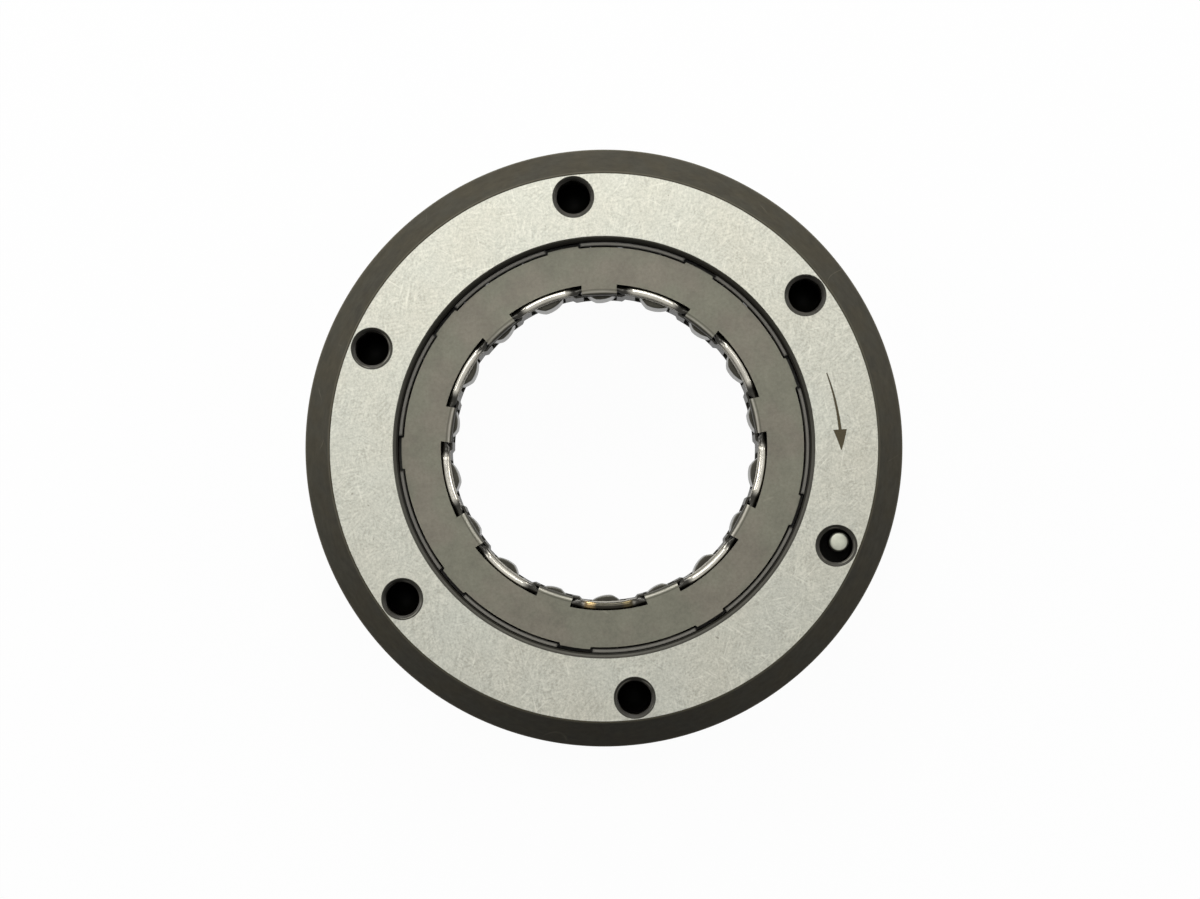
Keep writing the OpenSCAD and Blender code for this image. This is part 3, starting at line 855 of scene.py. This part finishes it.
def arrow_mask(nodes, mark):
    """1 inside an arrow that is bent round the axis: a tapered shaft and a triangle, with slightly rough edges"""
    way = nodes.span(nodes.turn, mark.start, mark.end)
    neck = 1 - mark.head_share
    across = nodes.gap(nodes.radius, nodes.span(way, 0.0, 1.0, mark.tail_r, mark.tip_r))
    rough = nodes.times(nodes.minus(nodes.noise(nodes.position, 4500.0, 2.0), 0.5), EDGE_ROUGH)
    shaft = nodes.span(way, 0.0, neck, mark.tail_half, mark.shaft_half)
    head = nodes.span(way, neck, 1.0, mark.head_half, TIP_HALF)
    half = nodes.span(nodes.above(way, neck), 0.0, 1.0, shaft, head)
    inside = nodes.span(nodes.minus(nodes.plus(half, rough), across), -EDGE_SOFT, EDGE_SOFT)
    return nodes.times(inside, nodes.above(nodes.turn, mark.start), nodes.below(nodes.turn, mark.end))


def ground_material(steel, mark):
    """Ground steel of the front face, with the etched arrow"""
    nodes = Steel("ground_steel")
    streaks, strokes = nodes.effect("grinding")
    patches, grain = nodes.effect("mottle", Patch_Scale=70.0)
    base = nodes.shades(streaks, steel.ground, 0.8, 1.2)
    base = nodes.tinted(base, patches, (1.0, 0.985, 0.955), (0.985, 1.0, 1.0))
    base = nodes.mix(nodes.times(strokes, 0.35), base, colour(steel.ground, 1.5))
    base = nodes.mix(nodes.times(nodes.effect("nicks")["Nicks"], 0.5), base, colour(steel.hardened, 1.5))
    arrow = arrow_mask(nodes, mark)
    bare = nodes.span(streaks, 0.0, 1.0, 0.36, 0.44)
    return nodes.finished(
        Base_Color=nodes.mix(arrow, base, nodes.shades(grain, steel.brown_etch_and_shade, 0.7, 1.5)),
        Roughness=nodes.span(arrow, 0.0, 1.0, bare, 0.75),
        Metallic=nodes.span(arrow, 0.0, 1.0, 1.0, 0.2),
        Normal=nodes.relief(nodes.minus(nodes.times(streaks, 0.15), arrow), 0.012 * MM))


def hardened_material(steel):
    """Dark, mottled skin with a turned grain and lighter hairline scuffs; painted highlights make both edges of the
    front bevel slightly lighter
    """
    nodes = Steel("hardened_skin", metallic=0.0, specular=0.05)
    patches, grain = nodes.effect("mottle", Patch_Scale=160.0, Grain_Scale=2600.0)
    turned = nodes.noise(nodes.round_axis(1100.0, 26.0), 1.0, 4.0, 0.7)
    cloud = nodes.plus(nodes.times(patches, 0.4), nodes.span(turned, 0.3, 0.7, 0.0, 0.6))
    base = nodes.shades(cloud, steel.hardened, 0.76, 1.24)
    warm = nodes.span(nodes.noise(nodes.position, 260.0, 2.0), 0.4, 0.62)
    base = nodes.tinted(base, warm, (0.985, 1.0, 1.04), (1.025, 1.0, 0.97))
    # Painted highlights: lighter lines along the front bevel's inner and outer edges
    face_edge = nodes.near(nodes.radius, FACE_R, 0.04 * MM, 0.16 * MM, 0.5)
    rim_edge = nodes.times(nodes.near(nodes.height, FACE_Z - FRONT_BEVEL_H, 0.1 * MM, 0.35 * MM, 0.6),
                           nodes.above(nodes.radius, RING_R - 0.4 * MM))
    scuffs = nodes.times(nodes.effect("scuffs", Scale=90.0)["Scuffs"], 0.5)
    # The painted highlights of both edges, plus real hairline scuffs
    painted_light_and_scuffs = nodes.plus(nodes.most(face_edge, rim_edge), scuffs)
    return nodes.finished(
        Base_Color=nodes.mix(painted_light_and_scuffs, base, colour(steel.hardened, 2.4)),
        Roughness=nodes.span(patches, 0.0, 1.0, 0.42, 0.56),
        Normal=nodes.relief(grain, 0.004 * MM))


def track_material(steel):
    """Ground bore with fine rings round it. Its bevel and the top of the bore carry painted light and shade: darker
    towards +Y, lighter towards -Y, with a painted dark line at the bevel's foot
    """
    nodes = Steel("sprag_track", specular=0.06)
    rings = nodes.noise(nodes.round_axis(9000.0, 3.0), 1.0, 2.0)
    patches = nodes.effect("mottle", Patch_Scale=200.0)["Patches"]
    # Painted light: the bevel is lighter towards -Y and darker towards +Y, in patches
    painted_light_and_scuffs = nodes.times(nodes.span(nodes.math("COSINE", nodes.turn), -0.2, 0.7, 1.0, 0.3),
                       nodes.span(patches, 0.0, 1.0, 0.8, 1.0))
    bevel = nodes.mix(painted_light_and_scuffs, colour(steel.painted_shade_and_weld, 0.7), colour(steel.bevel, 1.2))
    # Painted shade: a dark line at the foot of the bevel
    foot = nodes.below_top(FACE_Z, 0.32, 0.22, 0.95, 0.0)
    bevel = nodes.mix(foot, bevel, colour(steel.painted_shade_and_weld, 0.5))
    # Painted shade: the top of the bore takes the bevel's dark colour
    upper = nodes.below_top(FACE_Z, 3, 1.5)
    return nodes.finished(
        Base_Color=nodes.mix(upper, nodes.shades(rings, steel.track, 0.75, 1.25), bevel),
        Metallic=nodes.span(upper, 0.0, 1.0, 0.6, 0.0),
        Roughness=nodes.span(rings, 0.3, 0.7, 0.3, 0.42),
        Normal=nodes.relief(rings, 0.002 * MM))


def hole_material(steel):
    """Dark holes, whose oiled steel is kept near black as painted shade: a turned grey bevel at the mouth, a
    painted highlight as a thin light line at its foot, and deeper painted shade further down
    """
    nodes = Steel("tapped_hole", metallic=0.0, roughness=0.4, specular=0.08)
    patches, grain = nodes.effect("mottle", Patch_Scale=500.0)
    mouth = nodes.below_top(FACE_Z, 0.45, 0.3)
    base = nodes.mix(mouth, nodes.shades(patches, steel.hole, 0.7, 1.4), colour(steel.bevel, 0.75))
    # Painted highlight: a thin light line at the foot of the mouth's bevel
    line = nodes.times(nodes.near(nodes.height, FACE_Z - 0.33 * MM, 0.03 * MM, 0.1 * MM),
                       nodes.span(nodes.noise(nodes.position, 330.0, 1.0), 0.45, 0.6))
    base = nodes.mix(line, base, colour(steel.bevel, 3.0))
    # Painted shade: darker further down the hole
    deep = nodes.below_top(FACE_Z, 1.5, 0.45, 0.93, 0.0)
    return nodes.finished(
        Base_Color=nodes.mix(deep, base, colour(steel.painted_shade_and_weld, 0.5)),
        Normal=nodes.relief(grain, 0.003 * MM))


# Radii at which painted light or painted shade changes on the cages: a tab's leg, its bend and the crease before
# it, the recesses' edges, the flange's edge, and the inside and the middle of the outer cage's rim
LEG_IN_R, LEG_OUT_R, BEND_R, CREASE_R = 22.8 * MM, 22.92 * MM, 23.06 * MM, 23.4 * MM
RECESS_IN_R, RECESS_OUT_R = 23.4 * MM, 24 * MM
FLANGE_R, RIM_IN_R, RIM_R = 29.3 * MM, 29.85 * MM, 30.2 * MM


def sheet_material(steel):
    """Satin sheet steel with slow patches and hairlines. Painted highlights light the tabs' bends and the wall's
    top in the recesses, and the outer cage's rim is a lighter tone. Painted shade darkens the sheet below the
    flange, inside the tabs' bends, in the gaps by the flange's edges, along the line where each bend starts, and at
    the rim's edges and notches"""
    nodes = Steel("cage_sheet", specular=0.3)
    patches, grain = nodes.effect("mottle", Patch_Scale=300.0, Grain_Scale=2400.0)
    base = nodes.shades(patches, steel.sheet, 0.9, 1.1)
    warm = nodes.span(nodes.noise(nodes.position, 170.0, 2.0), 0.42, 0.62)
    base = nodes.tinted(base, warm, (0.985, 1.005, 0.99), (1.025, 0.985, 1.0))
    base = nodes.tinted(base, nodes.span(grain, 0.3, 0.7), (0.9, 0.9, 0.9), (1.1, 1.1, 1.1))
    base = nodes.mix(nodes.times(nodes.effect("scuffs")["Scuffs"], 0.5), base, colour(steel.sheet, 1.7))
    high = nodes.above(nodes.height, FLANGE_Z - 0.5 * MM)
    # Painted highlight: a light, glossy line along each tab's bend
    glint = nodes.times(high, nodes.near(nodes.radius, BEND_R, 0.04 * MM, 0.17 * MM, 0.55))
    # Painted shade: a dark line where each tab's bend starts
    crease = nodes.times(high, nodes.near(nodes.radius, CREASE_R, 0.03 * MM, 0.15 * MM, 0.6))
    base = nodes.mix(crease, base, colour(steel.sheet, 0.35))
    # Painted highlight: the wall's top, lighter in the recesses
    wall_top_highlight = nodes.times(nodes.math("COMPARE", nodes.height, WALL_TOP, 0.03 * MM),
                           nodes.span(nodes.from_nearest(RECESS_STATION), turn(10.2), turn(10.8), 1.0, 0.0))
    base = nodes.mix(nodes.most(glint, nodes.times(wall_top_highlight, 0.9)), base, colour(steel.strip, 0.75))
    # Painted shade: dark inside the tabs' bends and wherever the sheet lies below the flange, but not on the wall's
    # top
    leg = nodes.times(high, nodes.span(nodes.radius, LEG_IN_R, LEG_OUT_R, 0.9, 0.0))
    under = nodes.below_top(FLANGE_Z, 0.62, 0.42, 0.95, 0.0)
    low = nodes.times(nodes.most(leg, under), nodes.minus(1.0, wall_top_highlight))
    # Painted shade in the gaps just below the flange's top, outside the flange's edge and at the recesses
    beside = nodes.most(nodes.above(nodes.radius, FLANGE_R), nodes.span(nodes.radius, RECESS_IN_R, RECESS_OUT_R))
    gap_shade = nodes.times(nodes.below_top(FLANGE_Z, 0.2, 0.14, 0.97, 0.0), beside)
    # Painted shade on the outer cage's rim: dark at its edges and notches, lighter along its middle
    rim_edge = nodes.span(nodes.gap(nodes.radius, RIM_R), 0.1 * MM, 0.26 * MM, 0.25, 1.0)
    notch = nodes.span(nodes.from_nearest(LUG_STATION), NOTCH_HALF, NOTCH_HALF + turn(1.2), 1.0, 0.0)
    rim = nodes.times(nodes.above(nodes.radius, RIM_IN_R), nodes.below(nodes.height, FLANGE_Z - 0.05 * MM))
    base = nodes.mix(rim, base, colour(steel.strip, 0.33))
    # All the painted shade of the sheet together
    painted_shade_and_weld = nodes.most(low, gap_shade, nodes.times(rim, nodes.most(rim_edge, notch)))
    return nodes.finished(
        Base_Color=nodes.mix(painted_shade_and_weld, base, colour(steel.painted_shade_and_weld)),
        Metallic=nodes.most(nodes.span(painted_shade_and_weld, 0.0, 1.0, 0.35, 0.0), glint),
        Roughness=nodes.span(grain, 0.3, 0.7, 0.42, 0.55),
        Normal=nodes.relief(grain, 0.003 * MM))


def strip_material(steel):
    """Polished strip in slow patches of two tones, with painted shade towards the lobes' edges, in its lower parts
    and where the rail goes under a tab, and the heat tint of the joint that closes the strip, in one lobe"""
    nodes = Steel("spring_strip")
    patches = nodes.effect("mottle", Patch_Scale=500.0)["Patches"]
    base = nodes.shades(patches, steel.strip, 0.85, 1.1)
    # Painted shade: each lobe darker towards its edges, in the etched mark's brown
    edge = nodes.span(nodes.gap(nodes.radius, LOBE_MIDDLE_R), 0.22 * MM, 0.5 * MM, 0.0, 0.75)
    base = nodes.mix(edge, base, colour(steel.brown_etch_and_shade))
    from_joint = nodes.math("PINGPONG", nodes.minus(nodes.turn, JOINT_STATION), PI)
    straw = nodes.mix(nodes.below(nodes.turn, 0.0), colour(steel.brown_etch_and_shade, 1.4), colour(steel.tinted))
    tint = nodes.mix(nodes.span(from_joint, turn(4.2), turn(6.8), smooth=True), colour(steel.painted_shade_and_weld), straw)
    base = nodes.mix(nodes.span(from_joint, turn(8.5), turn(9.8), 0.97, 0.0), base, tint)
    # Painted shade where the rail dips under a tab, and on the strip's lower parts
    shade_under_tabs = nodes.span(nodes.from_nearest(RECESS_STATION), turn(7), turn(10.2), 0.0, 0.97, smooth=True)
    painted_shade_and_weld = nodes.most(shade_under_tabs, nodes.below_top(LOBE_HIGH, 0.5, 0.25, 0.9, 0.0))
    return nodes.finished(
        Base_Color=nodes.mix(painted_shade_and_weld, base, colour(steel.painted_shade_and_weld)),
        Metallic=nodes.span(painted_shade_and_weld, 0.0, 1.0, 1.0, 0.4),
        Roughness=nodes.span(patches, 0.0, 1.0, 0.2, 0.28))


# Radii between which the brighter tone of the inner cams fades
CAM_BRIGHT_R, CAM_PLAIN_R = 22.2 * MM, 22.9 * MM


def sprag_material(steel):
    """Oiled, tumbled steel, a little brighter along the cam that meets the race, with painted shade on its top end
    face
    """
    nodes = Steel("sprag_steel", metallic=0.6, specular=0.2)
    patches, grain = nodes.effect("mottle", Patch_Scale=400.0)
    cam = nodes.span(nodes.radius, CAM_BRIGHT_R, CAM_PLAIN_R, 0.6, 0.0)
    base = nodes.mix(cam, nodes.shades(patches, steel.sprag, 0.8, 1.2), colour(steel.sprag, 1.5))
    # Painted shade: the top end face darker
    end = nodes.below_top(SPRAG_HIGH, 0.07, 0.01, 0.0, 0.75)
    return nodes.finished(
        Base_Color=nodes.mix(end, base, colour(steel.painted_shade_and_weld, 1.5)),
        Roughness=nodes.span(grain, 0.3, 0.7, 0.28, 0.4),
        Normal=nodes.relief(grain, 0.002 * MM))


def pin_material(steel):
    """Worn end of the pin: fine specks, and painted shade that makes its rim darker"""
    nodes = Steel("pin_steel", metallic=0.6, roughness=0.4)
    patches, grain = nodes.effect("mottle", Patch_Scale=900.0)
    # Painted shade: darker round the rim of the pin's end
    low = nodes.below_top(PIN_TOP, 0.35, 0.15, 0.8, 0.0)
    return nodes.finished(
        Base_Color=nodes.mix(low, nodes.shades(patches, steel.pin, 0.85, 1.1), colour(steel.painted_shade_and_weld, 2.0)),
        Normal=nodes.relief(grain, 0.003 * MM))


class CLUTCH_OT_ring(bpy.types.Operator):
    """Make the outer ring with its tapped holes"""
    bl_idname = "clutch.ring"
    bl_label = "Outer ring"

    def execute(self, context):
        steel = context.scene.clutch_steel
        finishes = [ground_material(steel, context.scene.clutch_mark), hardened_material(steel),
                    track_material(steel), hole_material(steel)]
        stand_in(make_ring(context.scene.clutch_shape).piece("ring_body", "ring_steel", finishes),
                 "ring", "outer_ring")
        return {"FINISHED"}


class CLUTCH_OT_pin(bpy.types.Operator):
    """Make the locating pin"""
    bl_idname = "clutch.pin"
    bl_label = "Locating pin"

    def execute(self, context):
        painted_light_and_scuffs = pin_material(context.scene.clutch_steel)
        stand_in(make_pin(context.scene.clutch_shape).piece("pin_body", "pin_steel", [painted_light_and_scuffs]),
                 "ring", "locating_pin")
        return {"FINISHED"}


class CLUTCH_OT_cages(bpy.types.Operator):
    """Make the inner cage with its stepped wall and finish the outer cage"""
    bl_idname = "clutch.cages"
    bl_label = "Cages"

    def execute(self, context):
        sheet = sheet_material(context.scene.clutch_steel)
        stand_in(make_inner_cage(sheet), "cage", "inner_cage")
        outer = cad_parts["outer_cage"].data
        outer.materials.clear()
        outer.materials.append(sheet)
        return {"FINISHED"}


class CLUTCH_OT_spring(bpy.types.Operator):
    """Make the ribbon spring and a tongue for each sprag"""
    bl_idname = "clutch.spring"
    bl_label = "Ribbon spring"

    def execute(self, context):
        shape = context.scene.clutch_shape
        strip = strip_material(context.scene.clutch_steel)
        stand_in(make_spring(shape).piece("spring_strip", "spring_steel", [strip]), "cage", "ribbon_spring")
        for k in range(SPRAGS):
            tongue = make_tongue(k, shape).piece(f"tongue_{k + 1:02d}", "spring_steel", [strip])
            foot, tip = (tongue_line(k, sweep, TONGUE_R, TONGUE_LOW) for sweep in (0.0, TONGUE_CURL))
            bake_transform(tongue)
        return {"FINISHED"}


class CLUTCH_OT_sprags(bpy.types.Operator):
    """Make all the sprags"""
    bl_idname = "clutch.sprags"
    bl_label = "Sprags"

    def execute(self, context):
        tumbled = sprag_material(context.scene.clutch_steel)
        for k in range(SPRAGS):
            strut = make_sprag(k, context.scene.clutch_shape)
            body = f"sprag_{k + 1:02d}"
            stand_in(strut.piece(f"strut_{k + 1:02d}", "sprag_steel", [tumbled]), body, body)
        return {"FINISHED"}


# Places of the soft lights, named as their powers are
LIGHTS = {"top": (-0.05, 0.22, 0.6), "back": (-0.03, 0.607, 0.283),
          "left": (-0.57, 0.208, 0.283), "right": (0.57, 0.208, 0.283)}
LIGHT_SIZE = 0.3
FLOOR_HALF = 2.0
FLOOR_Z = -0.02 * MM


def white_backdrop(nodes):
    """1 for the rays that show the backdrop: those of the camera, of gloss and of glass"""
    path = nodes.add("ShaderNodeLightPath").outputs
    return nodes.most(path["Is Camera Ray"], path["Is Glossy Ray"], path["Is Transmission Ray"])


def floor_material(glow):
    """Pale matt floor that looks white, keeps the object's shadow, and is see-through from below"""
    nodes = Finish("floor", metallic=0.0, roughness=0.9, specular=0.0)
    lit = node_of(nodes.tree, "BSDF_PRINCIPLED").outputs[0]
    white = nodes.add("ShaderNodeEmission", {"Strength": 1.0}).outputs[0]
    above = nodes.blend(nodes.times(white_backdrop(nodes), glow), lit, white)
    clear = nodes.add("ShaderNodeBsdfTransparent").outputs[0]
    seen = nodes.blend(nodes.add("ShaderNodeNewGeometry").outputs["Backfacing"], above, clear)
    nodes.feed(node_of(nodes.tree, "OUTPUT_MATERIAL").inputs["Surface"], seen)
    return nodes.finished(Base_Color=(0.8, 0.8, 0.8, 1.0))


class CLUTCH_OT_stage(bpy.types.Operator):
    """Make the floor, the lights, the room and the camera"""
    bl_idname = "clutch.stage"
    bl_label = "Studio"

    def execute(self, context):
        studio = context.scene.clutch_studio
        self.make_floor(studio)
        self.make_room(context.scene, studio)
        self.make_lights(studio)
        self.make_camera(context.scene, studio)
        context.scene.view_settings.view_transform = "Standard"
        return {"FINISHED"}

    def make_floor(self, studio):
        mesh = bpy.data.meshes.new("floor")
        corners = [(x * FLOOR_HALF, y * FLOOR_HALF, FLOOR_Z) for x, y in ((-1, -1), (1, -1), (1, 1), (-1, 1))]
        mesh.from_pydata(corners, [], [(0, 1, 2, 3)])
        mesh.materials.append(floor_material(studio.floor_glow))
        add_object("floor", mesh)

    def make_room(self, scene, studio):
        """Weak light from all round, and white walls below a greyer ceiling in what gloss and glass show"""
        scene.world = bpy.data.worlds.new("room")
        scene.world.use_nodes = True
        nodes = Nodes(scene.world.node_tree)
        background = node_of(nodes.tree, "BACKGROUND").inputs
        background["Color"].default_value = (1.0, 1.0, 1.0, 1.0)
        up = nodes.split(nodes.add("ShaderNodeTexCoord").outputs["Generated"])["Z"]
        walls = nodes.span(up, 0.2, 0.95, 1.0, studio.ceiling, smooth=True)
        level = nodes.span(white_backdrop(nodes), 0.0, 1.0, studio.room_light, 1.0)
        nodes.feed(background["Strength"], nodes.times(walls, level))

    def make_lights(self, studio):
        """Square area lights that face the middle of the clutch"""
        for name, place in LIGHTS.items():
            light = bpy.data.lights.new(f"{name}_light", "AREA")
            light.energy = getattr(studio, f"{name}_power")
            light.size = LIGHT_SIZE
            lamp = add_object(f"{name}_light", light)
            lamp.location = place
            lamp.rotation_euler = (-Vector(place)).to_track_quat("-Z", "Y").to_euler()

    def make_camera(self, scene, studio):
        lens = bpy.data.cameras.new("camera")
        lens.lens = lens.sensor_width * studio.distance / studio.frame_width
        lens.clip_start = 0.01
        camera = add_object("camera", lens)
        back = Vector((0, -math.cos(studio.elevation), math.sin(studio.elevation)))
        camera.location = Vector((*studio.aim, FACE_Z)) + studio.distance * back
        camera.rotation_euler = (PI / 2 - studio.elevation, 0, 0)
        scene.camera = camera


class CLUTCH_PT_panel(bpy.types.Panel):
    """Lists the clutch's pieces, sizes, steels and studio"""
    bl_label = "Sprag Clutch"
    bl_idname = "CLUTCH_PT_panel"
    bl_space_type = "VIEW_3D"
    bl_region_type = "UI"
    bl_category = "Clutch"

    def draw(self, context):
        for operator in OPERATORS:
            self.layout.operator(operator.bl_idname)
        for name in SETTINGS:
            group = getattr(context.scene, name)
            for field in group.__annotations__:
                self.layout.prop(group, field)


OPERATORS = (CLUTCH_OT_ring, CLUTCH_OT_pin, CLUTCH_OT_cages, CLUTCH_OT_spring, CLUTCH_OT_sprags,
             CLUTCH_OT_stage)
SETTINGS = {"clutch_shape": ClutchShape, "clutch_steel": ClutchSteel, "clutch_mark": ClutchMark,
            "clutch_studio": ClutchStudio}
CLASSES = (*SETTINGS.values(), *OPERATORS, CLUTCH_PT_panel)


def register():
    for cls in CLASSES:
        bpy.utils.register_class(cls)
    for name, group in SETTINGS.items():
        setattr(bpy.types.Scene, name, PointerProperty(type=group))


def unregister():
    for name in SETTINGS:
        delattr(bpy.types.Scene, name)
    for cls in reversed(CLASSES):
        bpy.utils.unregister_class(cls)


def main():
    register()
    bpy.ops.clutch.ring()
    bpy.ops.clutch.pin()
    bpy.ops.clutch.cages()
    bpy.ops.clutch.spring()
    bpy.ops.clutch.sprags()
    bpy.ops.clutch.stage()


if __name__ == "__main__":
    main()
